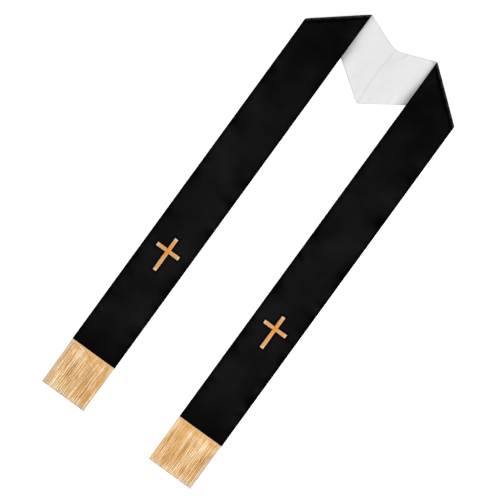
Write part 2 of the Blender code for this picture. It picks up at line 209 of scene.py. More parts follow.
RIGHT_OUTER_CREASES = (
    Crease(351, 0.55, 20, 5.0, 0.10),
    Crease(335, 0.35, 14, 5.0, -0.20),
    Crease(320, 0.50, 19, 6.0, 0.30),
    Crease(303, 0.30, 17, 4.0, -0.30),
    Crease(262, 0.30, 11, 3.0, 0.0),
    Crease(206, 0.35, 18, 4.0, 0.15),
    Crease(193, 0.65, 22, 7.0, -0.05),
    Crease(140, 0.20, 14, 4.0, -0.30),
    Crease(104, 0.35, 8, 5.0, 0.0),
    Crease(71, 0.45, 13, 5.0, -0.30),
    Crease(37, 0.60, 16, 6.0, 0.30),
    Crease(13, 0.35, 19, 7.0, -0.40),
    Crease(-46, 0.45, 14, 4.0, -0.10),
    Crease(-87, 0.50, 22, 5.0, 0.10),
    Crease(-106, 0.35, 8, 6.0, 0.0),
    Crease(-133, 0.40, 15, 5.0, 0.20),
    Crease(-166, 0.45, 22, 5.0, -0.10),
    Crease(-207, 0.45, 14, 5.0, 0.20),
    Crease(-220, 0.55, 13, 6.0, -0.20),
    Crease(-278, 0.45, 22, 6.0, -0.30),
    Crease(-327, 0.55, 19, 6.0, -0.10),
    Crease(-351, 0.50, 21, 6.0, 0.15),
    Crease(-380, 0.30, 15, 5.0, -0.30),
    Crease(-412, 0.25, 9, 4.0, 0.0),
    Crease(368, -0.30, 14, 6.0, 0.0),
    Crease(-62, -0.20, 12, 5.0, 0.10),
    Crease(-308, -0.35, 11, 4.0, 0.0),
    Crease(-368, -0.30, 14, 4.0, -0.10),
    Crease(-397, -0.25, 13, 5.0, 0.0),
)

NECK_DENTS = (
    Dent(28, 567, 0.55, 13, 2.6, 75),
    Dent(34, 571, -0.35, 12, 2.8, 78),
    Dent(-63, 583, 0.35, 9, 3.0, 110),
    Dent(-70, 580, -0.25, 9, 3.0, 112),
    Dent(60, 452, 0.30, 14, 3.5, 100),
    Dent(68, 458, -0.30, 13, 3.5, 96),
    Dent(78, 462, 0.30, 12, 3.0, 92),
    Dent(12, 540, 0.20, 22, 6.0, 60),
    Dent(-20, 430, 0.25, 10, 3.5, 80),
    Dent(-46, 452, 0.20, 12, 4.0, 70),
    Dent(-84, 500, 0.25, 16, 4.0, 60),
    Dent(20, 425, 0.25, 9, 3.0, 110),
)


LEFT_FRINGE_PATCHES = (
    Patch(203, -480, 9, 5, 0.30),
    Patch(162, -481, 9, 5, 0.34),
    Patch(130, -480, 11, 5, 0.24),
    Patch(199, -507, 4, 9, 0.22),
    Patch(126, -504, 4, 11, 0.26),
    Patch(160, -545, 4, 11, 0.34),
    Patch(134, -557, 5, 13, 0.34),
    Patch(110, -573, 4, 12, 0.34),
    Patch(203, -575, 3, 14, -0.25),
    Patch(178, -573, 3, 14, -0.25),
)

RIGHT_FRINGE_PATCHES = (
    Patch(132, -479, 8, 5, 0.30),
    Patch(160, -479, 9, 5, 0.34),
    Patch(204, -480, 9, 5, 0.32),
    Patch(129, -514, 4, 15, 0.28),
    Patch(160, -546, 4, 11, 0.38),
    Patch(134, -554, 5, 12, 0.34),
    Patch(108, -585, 5, 10, 0.32),
    Patch(202, -510, 4, 12, 0.16),
    Patch(169, -519, 3, 8, -0.25),
    Patch(188, -500, 6, 14, -0.18),
)


def patch_depth(patches: tuple[Patch, ...], x: Array, y: Array) -> Array:
    """How much deeper a fringe's colour is in its patches.

    Args:
        patches: the fringe's patches.
        x: places across, for a half at +X.
        y: places along.

    Returns:
        What the patches take off the tone.
    """
    depth = np.zeros(np.broadcast(x, y).shape)
    for patch in patches:
        off_x = (x - patch.x * MM) / (patch.width * MM)
        off_y = (y - patch.y * MM) / (patch.length * MM)
        depth += patch.depth * np.exp(-(off_x**2) - off_y**2)
    return depth


def ease(amount: Array | float) -> Array:
    """Go smoothly from 0 to 1.

    Args:
        amount: where on the way, clipped to 0 and 1.

    Returns:
        The smoothed share.
    """
    amount = np.clip(amount, 0.0, 1.0)
    return amount * amount * (3.0 - 2.0 * amount)


def mound(distance: Array | float, reach: float) -> Array:
    """A smooth mound.

    Args:
        distance: how far from its middle.
        reach: how wide it is.

    Returns:
        1 at the middle, and near 0 from twice the reach on.
    """
    return np.exp(-((distance / reach) ** 2))


def soft_corner(distance: Array | float, rounding: float) -> Array:
    """The distance from a corner's middle, with the corner itself rounded.

    Args:
        distance: signed distance from the middle.
        rounding: how wide the rounding is.

    Returns:
        A distance that is smooth through the middle.
    """
    return np.sqrt(distance * distance + rounding * rounding) - rounding


@dataclass(frozen=True)
class Band:
    """The run of a half's cloth at +X, from the centre-back seam over the shoulder fold to the hem."""

    front_width: float = 0.127
    front_outer_x: float = 0.225
    hem_y: float = -0.4706
    fold_inner_y: float = 0.5981
    fold_outer_y: float = 0.4943
    neckline_middle_y: float = 0.5634
    neckline_slope: float = 0.40
    neckline_rounding: float = 0.012
    point_middle_y: float = 0.4016
    point_slope: float = 0.705
    point_rounding: float = 0.003
    shoulder_turn_x: float = 0.0985
    shoulder_slope: float = 0.2023
    shoulder_rounding: float = 0.004
    seam_shift: float = -0.001
    seam_bow: float = 0.005
    seam_bow_fade: float = 3.0
    neck_fan: float = 1.8
    seam_gap: float = 0.00003
    half_gap: float = 0.00015
    face_thickness: float = 0.0012
    front_face_thickness: float = 0.00145
    crown_rise: float = 0.0003
    lining_thickness: float = 0.0010
    roll_radius: float = 0.0026
    roll_fall: float = 0.009
    lift: float = 0.0032
    valley: float = 0.00055
    valley_depth: float = 0.0105
    valley_width: float = 0.0026
    settle_start: float = 0.002
    settle_length: float = 0.075
    arch: float = 0.0024
    arch_y: float = 0.487
    arch_reach_x: float = 0.028
    arch_reach_y: float = 0.055
    level_y: float = 0.330
    row_pitch: float = 0.0024
    roll_steps: int = 16

    @property
    def front_inner_x(self) -> float:
        """Where the front's inner edge lies."""
        return self.front_outer_x - self.front_width

    @property
    def neck_middle_z(self) -> float:
        """The seam level of the neck piece."""
        return self.face_thickness + self.half_gap

    @property
    def front_middle_z(self) -> float:
        """The seam level of a front that lies flat."""
        return self.lining_thickness + self.half_gap

    @property
    def roll_outside(self) -> float:
        """From the roll's middle to the outside of the fold."""
        return self.roll_radius + self.half_gap + self.face_thickness

    @property
    def fold_inward(self) -> Array:
        """The way into the front from the fold's outline, seen from above."""
        run = np.array([self.fold_outer_y - self.fold_inner_y, -self.front_width])
        return run / np.hypot(*run)

    def fold_depth(self, x: Array | float, y: Array | float) -> Array:
        """How far a place seen from above lies inside the fold's outline."""
        inward = self.fold_inward
        return (x - self.front_inner_x) * inward[0] + (y - self.fold_inner_y) * inward[1]

    def neckline_y(self, x: Array | float) -> Array:
        """The neck piece's upper edge."""
        return self.neckline_middle_y + self.neckline_slope * soft_corner(x, self.neckline_rounding)

    def point_y(self, x: Array | float) -> Array:
        """The neck piece's lower edge."""
        past = x - self.shoulder_turn_x
        turned = (past + np.sqrt(past * past + self.shoulder_rounding**2)) / 2
        rise = self.point_slope * soft_corner(x, self.point_rounding)
        return self.point_middle_y + rise - (self.point_slope - self.shoulder_slope) * turned

    def front_height(self, x: Array, y: Array) -> Array:
        """The height of the front's seam level."""
        depth = self.fold_depth(x, y)
        settled = ease(((self.point_y(x) - y) - self.settle_start) / self.settle_length)
        roll_top = self.neck_middle_z + 2 * self.roll_radius - self.front_middle_z - self.lift
        roll = roll_top * (1.0 - ease((depth - self.roll_outside) / self.roll_fall))
        uneven = 1.0 + 0.35 * np.sin(x / 0.0083) * np.sin(x / 0.0214 + 1.0)
        valley = self.valley * uneven * mound(depth - self.valley_depth, self.valley_width)
        sideways = ((x - self.front_inner_x) / self.arch_reach_x) ** 2
        along = ((y - self.arch_y) / self.arch_reach_y) ** 2
        arch = self.arch * np.exp(-sideways - along)
        return self.front_middle_z + (self.lift + roll - valley + arch) * (1.0 - settled)

    def _edge_at_depth(self, edge_y, end_x: float, depth: float) -> Array:
        """The point of one of the neck piece's edges that lies at that depth from the fold."""
        xs = np.linspace(end_x, 0.0, 500)
        x = np.interp(depth, self.fold_depth(xs, edge_y(xs)), xs)
        return np.array([x, edge_y(x)])

    def neck_row(self, progress: float, side: Side, shares: Array) -> Array:
        """A row of the neck piece, from the shoulder roll at progress 0 to the centre-back seam at 1."""
        at_neckline = self.fold_depth(0.0, self.neckline_middle_y)
        top_depth = self.roll_outside + (at_neckline - self.roll_outside) * progress
        fan = self.fold_depth(0.0, self.point_middle_y) - at_neckline
        top = self._edge_at_depth(self.neckline_y, self.front_inner_x, top_depth)
        low = self._edge_at_depth(self.point_y, self.front_outer_x, top_depth + fan * progress**self.neck_fan)
        plan = top + (low - top) * shares[:, None]
        bow = side.value * (self.seam_shift - self.seam_bow * np.sin(np.pi * shares)) + self.seam_gap
        plan[:, 0] += bow * progress**self.seam_bow_fade
        return np.column_stack([plan, np.full(len(shares), self.neck_middle_z)])

    def roll_row(self, angle: float, shares: Array) -> Array:
        """A row of the shoulder roll, from 0 where it leaves the neck piece to pi where the front begins."""
        depth = self.roll_outside - self.roll_radius * math.sin(angle)
        drop = depth / -self.fold_inward[1]
        turned = angle / math.pi
        neck_top = self._edge_at_depth(self.neckline_y, self.front_inner_x, depth)
        neck_low = self._edge_at_depth(self.point_y, self.front_outer_x, depth)
        start = neck_top + (np.array([self.front_inner_x, self.fold_inner_y - drop]) - neck_top) * turned
        end = neck_low + (np.array([self.front_outer_x, self.fold_outer_y - drop]) - neck_low) * turned
        plan = start + (end - start) * shares[:, None]
        height = self.neck_middle_z + self.roll_radius * (1.0 - math.cos(angle))
        return np.column_stack([plan, np.full(len(shares), height)])

    def front_row(self, outer_y: float, shares: Array) -> Array:
        """A row of the front, in line with the fold at the top and level further down."""
        lean = self.fold_inner_y - self.fold_outer_y
        turned = float(ease((self.fold_outer_y - outer_y) / (self.fold_outer_y - self.level_y)))
        start = np.array([self.front_inner_x, outer_y + lean * (1.0 - turned)])
        end = np.array([self.front_outer_x, outer_y])
        plan = start + (end - start) * shares[:, None]
        return np.column_stack([plan, self.front_height(plan[:, 0], plan[:, 1])])

    def rows(self, side: Side, shares: Array) -> tuple[Array, Array]:
        """Every row of a half's cloth.

        Args:
            side: which half, for the way its seam bows.
            shares: where the columns stand across the band, from 0 at the inner edge to 1.

        Returns:
            The points by row and column, and how much each row belongs to the level front.
        """
        fine = np.array([0.0, 0.15, 0.35, 0.7, 1.2, 1.9, 2.8, 4.0]) * MM
        neck_length = float(self.fold_depth(0.0, self.neckline_middle_y)) - self.roll_outside
        inner = np.arange(fine[-1] + self.row_pitch, neck_length - self.row_pitch / 2, self.row_pitch)
        found = [self.neck_row(1.0 - s / neck_length, side, shares) for s in [*fine, *inner]]
        fronts = [0.0] * len(found)
        angles = np.linspace(0.0, math.pi, self.roll_steps + 1)
        found += [self.roll_row(float(angle), shares) for angle in angles]
        fronts += [float(angle) / math.pi * 0.1 for angle in angles]
        roll_end = self.roll_outside / -self.fold_inward[1]
        start, end = self.fold_outer_y - roll_end, self.hem_y
        middle = np.arange(start - 0.0008, end + fine[-1] + self.row_pitch / 2, -self.row_pitch)
        for outer_y in [*middle, *(end + fine[::-1])]:
            found.append(self.front_row(float(outer_y), shares))
            fronts.append(0.1 + 0.9 * float(ease((start - outer_y) / 0.095)))
        return np.array(found), np.array(fronts)


class NodeSketch:
    """A short way to lay out a node tree."""

    def __init__(self, tree: bpy.types.NodeTree) -> None:
        self.tree = tree

    def add(self, kind: str, inputs: dict | None = None, **settings: object) -> bpy.types.Node:
        """Add a node.

        Args:
            kind: the node's type name.
            inputs: values or output sockets for its inputs, by name or number.
            settings: its own properties.

        Returns:
            The new node.
        """
        node = self.tree.nodes.new(kind)
        for name, value in settings.items():
            setattr(node, name, value)
        return self.fill(node, inputs or {})

    def fill(self, node: bpy.types.Node, inputs: dict) -> bpy.types.Node:
        """Set a node's inputs to values, or link them to output sockets."""
        for name, value in inputs.items():
            if isinstance(value, Socket):
                self.tree.links.new(value, node.inputs[name])
            else:
                node.inputs[name].default_value = value
        return node

    def reckon(self, operation: str, *values: Socket | float, clamp: bool = False) -> Socket:
        """The result of an operation on numbers and sockets."""
        node = self.add("ShaderNodeMath", dict(enumerate(values)), operation=operation, use_clamp=clamp)
        return node.outputs[0]

    def spread(
        self, value: Socket, low: float, high: float, start: float = 0.0, end: float = 1.0, **settings: object
    ) -> Socket:
        """A value that runs from low to high while another runs from start to end."""
        inputs = {"Value": value, "From Min": start, "From Max": end, "To Min": low, "To Max": high}
        return self.add("ShaderNodeMapRange", inputs, **settings).outputs[0]

    def bands(self, direction: str, **inputs: Socket | float) -> Socket:
        """The height of a texture of bands."""
        node = self.add("ShaderNodeTexWave", inputs, wave_type="BANDS", bands_direction=direction)
        return node.outputs[1]

    def relief(self, height: Socket, strength: float, distance: float) -> Socket:
        """A surface direction that follows a fine height."""
        inputs = {"Height": height, "Strength": strength, "Distance": distance}
        return self.add("ShaderNodeBump", inputs).outputs[0]

    def painted(self, name: str) -> Socket:
        """The number that each point carries under a name."""
        return self.add("ShaderNodeAttribute", attribute_name=name).outputs["Fac"]

    def ramp(self, factor: Socket, stops: dict[float, tuple]) -> Socket:
        """A colour ramp through the given stops."""
        node = self.add("ShaderNodeValToRGB", {"Fac": factor})
        elements = node.color_ramp.elements
        places = sorted(stops)
        elements[0].position, elements[-1].position = places[0], places[-1]
        for place in places:
            inside = places[0] < place < places[-1]
            element = elements.new(place) if inside else elements[0 if place == places[0] else -1]
            element.color = (*stops[place], 1.0)
        return node.outputs["Color"]

    def mix(self, factor: Socket, start: Socket, end: Colour) -> Socket:
        """A colour that goes from start to a fixed one with the factor."""
        factor_input, start_input, end_input = 0, 6, 7
        inputs = {factor_input: factor, start_input: start, end_input: (*end, 1.0)}
        return self.add("ShaderNodeMix", inputs, data_type="RGBA").outputs[2]

    def group(self, name: str, **inputs: Socket | float) -> Socket:
        """What a shared node group gives."""
        return self.add("ShaderNodeGroup", inputs, node_tree=bpy.data.node_groups[name]).outputs[0]


class SharedEffects:
    """The node groups that several materials share. They give only masks and heights."""

    VARIATION = "cloth_variation"
    WEAVE = "satin_weave"
    STREAKS = "yarn_streaks"

    @staticmethod
    def _new(name: str, output: str, *numbers: str) -> tuple[NodeSketch, bpy.types.bpy_prop_collection]:
        """A group that takes a vector and the named numbers, and what goes into it."""
        tree = bpy.data.node_groups.new(name, "ShaderNodeTree")
        tree.interface.new_socket("Vector", in_out="INPUT", socket_type="NodeSocketVector")
        for label in numbers:
            tree.interface.new_socket(label, in_out="INPUT", socket_type="NodeSocketFloat")
        tree.interface.new_socket(output, in_out="OUTPUT", socket_type="NodeSocketFloat")
        sketch = NodeSketch(tree)
        return sketch, sketch.add("NodeGroupInput").outputs

    @staticmethod
    def _give_noise(sketch: NodeSketch, low: float, high: float, **inputs: Socket | float) -> None:
        """Let a group give a noise that is stretched to run from 0 at low to 1 at high."""
        noise = sketch.add("ShaderNodeTexNoise", inputs).outputs[0]
        sketch.add("NodeGroupOutput", {0: sketch.spread(noise, 0.0, 1.0, low, high)})

    def build(self) -> None:
        """Make the three groups."""
        sketch, given = self._new(self.VARIATION, "Mask", "Scale", "Detail")
        self._give_noise(sketch, 0.28, 0.72, Vector=given[0], Scale=given[1], Detail=given[2], Roughness=0.55)

        sketch, given = self._new(self.WEAVE, "Height", "Threads")
        run = sketch.bands("X", Vector=given[0], Scale=given[1], Distortion=1.2, Detail=1.0)
        floats = sketch.bands("DIAGONAL", Vector=given[0], Scale=given[1], Distortion=2.0, Detail=1.0)
        sketch.add("NodeGroupOutput", {0: sketch.reckon("MULTIPLY_ADD", floats, 0.4, run)})

        sketch, given = self._new(self.STREAKS, "Mask", "Scale", "Stretch")
        narrow = sketch.add("ShaderNodeCombineXYZ", {"X": 1.0, "Y": given[2], "Z": 1.0}).outputs[0]
        squeezed = sketch.add("ShaderNodeVectorMath", {0: given[0], 1: narrow}, operation="MULTIPLY")
        stretched = squeezed.outputs[0]
        self._give_noise(sketch, 0.3, 0.7, Vector=stretched, Scale=given[1], Detail=3.0, Roughness=0.6)


def new_material(name: str) -> tuple[bpy.types.Material, NodeSketch, bpy.types.Node]:
    """A material with its Principled shader.

    Args:
        name: the material's name.

    Returns:
        The material, a sketch of its tree, and the shader.
    """
    made = bpy.data.materials.new(name)
    made.use_nodes = True
    sketch = NodeSketch(made.node_tree)
    return made, sketch, made.node_tree.nodes["Principled BSDF"]


class Finish:
    """A surface finish whose material is made on first use."""

    slot: str

    @property
    def name(self) -> str:
        """The material's name, unlike that of the plain one in the frame."""
        return f"{self.slot}_look"

    def build(self) -> bpy.types.Material:
        """Make the material."""
        raise NotImplementedError

    def build_once(self) -> bpy.types.Material:
        """The material, made if it isn't there yet."""
        return bpy.data.materials.get(self.name) or self.build()


@dataclass(frozen=True)
class SatinFinish(Finish):
    """A satin: its colours, which differ at random, the colours of its painted shade and painted highlights,
    and how it shines.
    """

    slot: str
    deep: Colour
    full: Colour
    # edge is the colour of painted shade, and lit the colour of painted highlights
    edge: Colour
    lit: Colour
    roughness: tuple[float, float]
    specular: float
    bump_height: float
    bump_strength: float = 0.4
    gloss_in_shade: float = 0.2
    mottle: float = 0.42
    broad_scale: float = 9.0
    small_scale: float = 260.0
    small_share: float = 0.35
    small_relief: float = 0.9
    threads_per_metre: float = 900.0

    def build(self) -> bpy.types.Material:
        """Make the material."""
        made, sketch, shader = new_material(self.name)
        cloth = sketch.add("ShaderNodeUVMap", uv_map="cloth").outputs[0]
        broad = sketch.group(SharedEffects.VARIATION, Vector=cloth, Scale=self.broad_scale, Detail=2.0)
        small = sketch.group(SharedEffects.VARIATION, Vector=cloth, Scale=self.small_scale, Detail=2.0)
        weave = sketch.group(SharedEffects.WEAVE, Vector=cloth, Threads=self.threads_per_metre)
        # The edge number holds painted shade above zero and painted light below zero: it mixes the colour
        # towards edge or lit, and lowers the specular in the painted shade
        painted_shading = sketch.painted("edge")
        mixed = sketch.reckon("MULTIPLY_ADD", small, self.small_share, broad)
        shaded = sketch.mix(painted_shading, sketch.ramp(mixed, {0.1: self.deep, 1.0: self.full}), self.edge)
        raised = sketch.reckon("MULTIPLY", painted_shading, -1.0, clamp=True)
        specular_in_shade = sketch.spread(painted_shading, self.specular, self.specular * self.gloss_in_shade, clamp=False)
        mottled = sketch.spread(broad, 1.0 - self.mottle, 1.0 + self.mottle)
        height = sketch.reckon("MULTIPLY_ADD", small, self.small_relief, weave)
        looks = {
            "Base Color": sketch.mix(raised, shaded, self.lit),
            "Roughness": sketch.spread(broad, *self.roughness),
            "Specular IOR Level": sketch.reckon("MULTIPLY", specular_in_shade, mottled, clamp=True),
            "Normal": sketch.relief(height, self.bump_strength, self.bump_height),
        }
        sketch.fill(shader, looks)
        return made


@dataclass(frozen=True)
class YarnFinish(Finish):
    """A lustrous yarn: its colours by tone, from deep to pale."""

    slot: str
    tones: dict[float, Colour]
    pale: Colour
    streak_scale: float
    streak_stretch: float
    streak_share: float
    roughness: float
    specular: float
    sheen: float
    twist_scale: float
    bump_height: float
    bump_strength: float = 0.5
    roughness_spread: float = 0.07

    def build(self) -> bpy.types.Material:
        """Make the material."""
        made, sketch, shader = new_material(self.name)
        place = sketch.add("ShaderNodeTexCoord").outputs["Object"]
        shape = {"Scale": self.streak_scale, "Stretch": self.streak_stretch}
        streaks = sketch.group(SharedEffects.STREAKS, Vector=place, **shape)
        centred = sketch.reckon("SUBTRACT", streaks, 0.5)
        uneven = sketch.reckon("MULTIPLY_ADD", centred, self.streak_share, sketch.painted("tone"))
        matt, spread = self.roughness, self.roughness_spread
        twist = sketch.bands("DIAGONAL", Vector=place, Scale=self.twist_scale, Distortion=1.0)
        looks = {
            "Base Color": sketch.mix(sketch.painted("pale"), sketch.ramp(uneven, self.tones), self.pale),
            "Roughness": sketch.spread(streaks, matt - spread, matt + spread),
            "Specular IOR Level": self.specular,
            "Sheen Weight": self.sheen,
            "Normal": sketch.relief(twist, self.bump_strength, self.bump_height),
        }
        sketch.fill(shader, looks)
        return made


BLACK_SATIN = SatinFinish(
    slot="black_satin",
    deep=(0.0010, 0.0010, 0.0011),
    full=(0.0022, 0.0022, 0.0023),
    # edge: the colour of painted shade; lit: the colour of painted highlights
    edge=(0.0002, 0.0002, 0.0002),
    lit=(0.013, 0.013, 0.013),
    roughness=(0.20, 0.25),
    specular=0.13,
    bump_height=0.00006,
)

WHITE_LINING = SatinFinish(
    slot="white_lining",
    deep=(0.675, 0.675, 0.675),
    full=(0.745, 0.745, 0.745),
    # edge: the colour of painted shade; lit: the colour of painted highlights
    edge=(0.34, 0.34, 0.34),
    lit=(0.82, 0.82, 0.82),
    roughness=(0.45, 0.58),
    specular=0.3,
    bump_height=0.00005,
)

GOLD_FRINGE = YarnFinish(
    slot="gold_fringe",
    tones={
        0.0: (0.36, 0.20, 0.08),
        0.12: (0.54, 0.32, 0.11),
        0.3: (0.80, 0.42, 0.075),
        0.42: (0.70, 0.39, 0.125),
        0.7: (0.88, 0.62, 0.35),
        1.0: (0.97, 0.84, 0.60),
    },
    pale=(0.62, 0.57, 0.50),
    streak_scale=700.0,
    streak_stretch=0.08,
    streak_share=0.5,
    roughness=0.5,
    specular=0.35,
    sheen=0.1,
    twist_scale=900.0,
    bump_height=0.00012,
)

GOLD_THREAD = YarnFinish(
    slot="gold_thread",
    tones={
        0.0: (0.38, 0.15, 0.02),
        0.35: (0.74, 0.26, 0.008),
        0.65: (0.64, 0.32, 0.098),
        1.0: (0.78, 0.53, 0.30),
    },
    # pale: on the cross, the colour of the painted sheen on the bars' edges and tips
    pale=(0.80, 0.58, 0.40),
    streak_scale=500.0,
    streak_stretch=1.0,
    streak_share=0.2,
    roughness=0.42,
    specular=0.25,
    sheen=0.0,
    twist_scale=1600.0,
    bump_height=0.00005,
)


def make_object(
    name: str, points: Array | list, faces: list, look: bpy.types.Material, **painted: Array
) -> bpy.types.Object:
    """A smooth-shaded object of one material in the scene.

    Args:
        name: the object's name.
        points: its points, in a grid or a list.
        faces: the indices of each face's points.
        look: its material.
        painted: the numbers that each point carries, under the names that the material reads.

    Returns:
        The object.
    """
    mesh = bpy.data.meshes.new(name)
    mesh.from_pydata(np.reshape(points, (-1, 3)).tolist(), [], faces)
    for label, values in painted.items():
        numbers = mesh.attributes.new(label, "FLOAT", "POINT")
        numbers.data.foreach_set("value", np.asarray(values, dtype=np.float32).reshape(-1))
    mesh.validate()
    mesh.shade_smooth()
    mesh.materials.append(look)
    made = bpy.data.objects.new(name, mesh)
    bpy.context.scene.collection.objects.link(made)
    return made


def take_place(made: bpy.types.Object, side: Side, solid: str) -> bpy.types.Object:
    """Hide one of a half's solids and let a piece take its place on the root body.

    Args:
        made: the piece.
        side: the half.
        solid: the solid's name without its side.

    Returns:
        The piece.
    """
    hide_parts(f"{side.label}_{solid}")
    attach(made, "root")
    return made


def grid_faces(rows: int, columns: int, flipped: bool) -> Array:
    """The quads of a grid of points.

    Args:
        rows: how many rows of points.
        columns: how many points in each.
        flipped: whether the faces look the other way.

    Returns:
        Four indices for each quad.
    """
    first = (np.arange(rows - 1)[:, None] * columns + np.arange(columns - 1)[None, :]).reshape(-1)
    quads = np.column_stack([first, first + columns, first + columns + 1, first + 1])
    return quads[:, ::-1] if flipped else quads


def outer_reach(distance: Array, radius: float) -> Array:
    """How far a turned edge has risen, from 0 at the edge to 1 past its radius."""
    short = 1.0 - np.clip(distance / radius, 0.0, 1.0)
    return np.sqrt(np.clip(1.0 - short * short, 0.0, 1.0))


def laid_over(shade: Array, more: Array) -> Array:
    """Add one painted shade to another, and keep the sum under 1.

    Args:
        shade: the first painted shade, below zero where light is painted instead, as on a puff.
        more: the painted shade that is laid over it.

    Returns:
        Both together.
    """
    return shade + more * (1.0 - np.clip(shade, 0.0, 1.0))


@dataclass
class ClothPiece:
    """The face or the lining of a half, as a thin shell on its solid's form."""

    side: Side
    layer: Layer
    finish: SatinFinish
    inner_creases: tuple[Crease, ...] = ()
    outer_creases: tuple[Crease, ...] = ()
    dents: tuple[Dent, ...] = ()
    # Painted shade and painted light, laid into the edge number that the satin reads
    edge_shade: float = 0.74
    edge_shade_reach: float = 0.007
    fully_shaded_crease: float = 0.62
    shade_spread: float = 1.3
    shoulder_shade: float = 0.64
    shoulder_fade_y: float = 0.24
    shoulder_fade: float = 0.24
    fold_light: float = 2.3
    fold_hollow_shade: float = 0.60
    hem_shade: float = 0.58
    hem_fade_y: float = -0.34
    hem_fade: float = 0.13
    dent_shade: float = 0.5
    fold_light_depth: float = 0.0034
    fold_light_width: float = 0.0022
    fold_hollow_shade_depth: float = 0.0105
    fold_hollow_shade_width: float = 0.0042
    cross_shade: float = 0.9
    cross_shade_reach: float = 0.005
    front_shadow_reach: float = 0.0115
    contact_shadow: float = 0.7
    contact_shadow_reach: float = 0.0018
    seam_shade: float = 0.13
    seam_shade_reach: float = 0.0038
    rebound: float = 0.8
    edge_hold: float = 0.5
    edge_hold_reach: float = 0.0015
    crown_start: float = 0.022
    crown_run: float = 0.0415
    edge_press: float = 0.33
    hem_press: float = 0.3
    press_reach: float = 0.003
    seam_press: float = 0.14
    seam_press_reach: float = 0.0018
    allowance_rise: float = 0.00014
    allowance_end: float = 0.0055
    allowance_width: float = 0.0012
    thinnest: float = 0.00003
    piping_reach: float = 0.0012
    lining_inset: float = 0.0005
    band: Band = field(default_factory=Band)
    shell: float = 0.00035
    turn_radius: float = 0.0006
    piping: float = 0.00015
    INSETS_MM = (
        *(0.0, 0.12, 0.3, 0.6, 1.1, 1.8, 2.7, 4.0, 5.5, 7.2, 9.2, 11.5),
        *(14.0, 17.0, 20.5, 24.5, 29.0, 34.0, 39.5, 45.5, 51.5, 57.5, 63.5),
    )

    @property
    def name(self) -> str:
        """The piece's name."""
        return f"{self.side.label}_{self.layer.label}_satin"

    def _thickness(
        self, across: Array, from_seam: Array, from_hem: Array, front: Array
    ) -> Array:
        """The layer's thickness by its distances from the long edges, the centre-back seam and the hem."""
        band = self.band
        if self.layer is Layer.FACE:
            level = band.face_thickness + (band.front_face_thickness - band.face_thickness) * front
            level = level + band.crown_rise * front * ease((across - self.crown_start) / self.crown_run)
        else:
            level = band.lining_thickness
        pressed = 1.0 - self.edge_press * np.exp(-across / self.press_reach)
        pressed = pressed * (1.0 - self.hem_press * np.exp(-from_hem / self.press_reach))
        joined = 1.0 - self.seam_press * np.exp(-from_seam / self.seam_press_reach)
        turned = outer_reach(across, self.turn_radius) * outer_reach(from_hem, self.turn_radius)
        return level * pressed * joined * turned

    def _puckers(
        self, points: Array, inner: Array, outer: Array
    ) -> tuple[Array, Array]:
        """The puckers along the front's two edges.

        Args:
            points: the band's points by row and column.
            inner: each point's distance from the inner edge.
            outer: each point's distance from the outer edge.

        Returns:
            How far the cloth is drawn in, below zero, or puffed up between them, and the painted shade there,
            below zero where light is painted on a puff.
        """
        moved, painted_shade = np.zeros(inner.shape), np.zeros(inner.shape)
        for creases, distance in ((self.inner_creases, inner), (self.outer_creases, outer)):
            for crease in creases:
                off = points[..., 1] - crease.y * MM - crease.slant * distance
                run = off / (crease.width * MM)
                shape = (self.rebound * run * run - 1.0) * np.exp(-0.5 * run * run)
                held = 1.0 - self.edge_hold * np.exp(-distance / self.edge_hold_reach)
                moved += crease.depth * MM * shape * mound(distance, crease.reach * MM) * held
                crease_shade_falloff = mound(distance, crease.reach * self.shade_spread * MM)
                # Painted shade in each crease, and painted light on each puff
                painted_shade += crease.depth / self.fully_shaded_crease * np.exp(-0.2 * run * run) * crease_shade_falloff
        return moved, np.clip(painted_shade, -1.0, 1.0)

    def _drape(self, points: Array, front: Array) -> Array:
        """Broad shallow waves of a front that was folded and laid out again."""
        x, y = points[..., 0], points[..., 1]
        lean = 0.7 * self.side.value
        waves = (
            0.34 * np.sin(y / 0.0193 + lean + 9.0 * x)
            + 0.20 * np.sin(y / 0.0117 - 21.0 * x + 2.0 * lean)
            + 0.22 * np.sin(x / 0.0162 + y / 0.061 + lean)
        )
        return waves * MM * front

    def _neck_dents(self, points: Array) -> Array:
        """How far the dents move the neck piece's lining."""
        moved = np.zeros(points.shape[:2])
        for dent in self.dents:
            off_x = points[..., 0] * self.side.value - dent.x * MM
            off_y = points[..., 1] - dent.y * MM
            turn = math.radians(dent.heading_deg)
            along = (off_x * math.cos(turn) + off_y * math.sin(turn)) / (dent.length * MM)
            sideways = (off_y * math.cos(turn) - off_x * math.sin(turn)) / (dent.width * MM)
            moved -= dent.depth * MM * np.exp(-(along**2) - sideways**2)
        return moved

    def build(self) -> bpy.types.Object:
        """Make the shell and take the solid's place."""
        band = self.band
        insets = np.array(self.INSETS_MM) * MM / band.front_width
        shares = np.concatenate([insets, 1.0 - insets[-2::-1]])
        points, front = band.rows(self.side, shares)
        front = front[:, None]
        steps = np.linalg.norm(np.diff(points, axis=1), axis=2)
        inner = np.concatenate([np.zeros((len(points), 1)), np.cumsum(steps, axis=1)], axis=1)
        outer = inner[:, -1:] - inner
        across = np.minimum(inner, outer)
        runs = np.linalg.norm(np.diff(points, axis=0), axis=2)
        travelled = np.concatenate([np.zeros((1, len(shares))), np.cumsum(runs, axis=0)], axis=0)
        from_hem = travelled[-1:] - travelled
        sideways = np.gradient(points, axis=1)
        normal = np.cross(np.gradient(points, axis=0), sideways)
        normal /= np.linalg.norm(normal, axis=2, keepdims=True)
        outward = sideways / np.linalg.norm(sideways, axis=2, keepdims=True)
        height = band.half_gap + self._thickness(across, travelled, from_hem, front)
        level = ease((front - 0.1) / 0.5)
        shade = np.zeros(across.shape)
        if self.layer is Layer.FACE:
            drawn, painted_hollow_shade = self._puckers(points, inner, outer)
            height = height + drawn * level + self._drape(points, level)
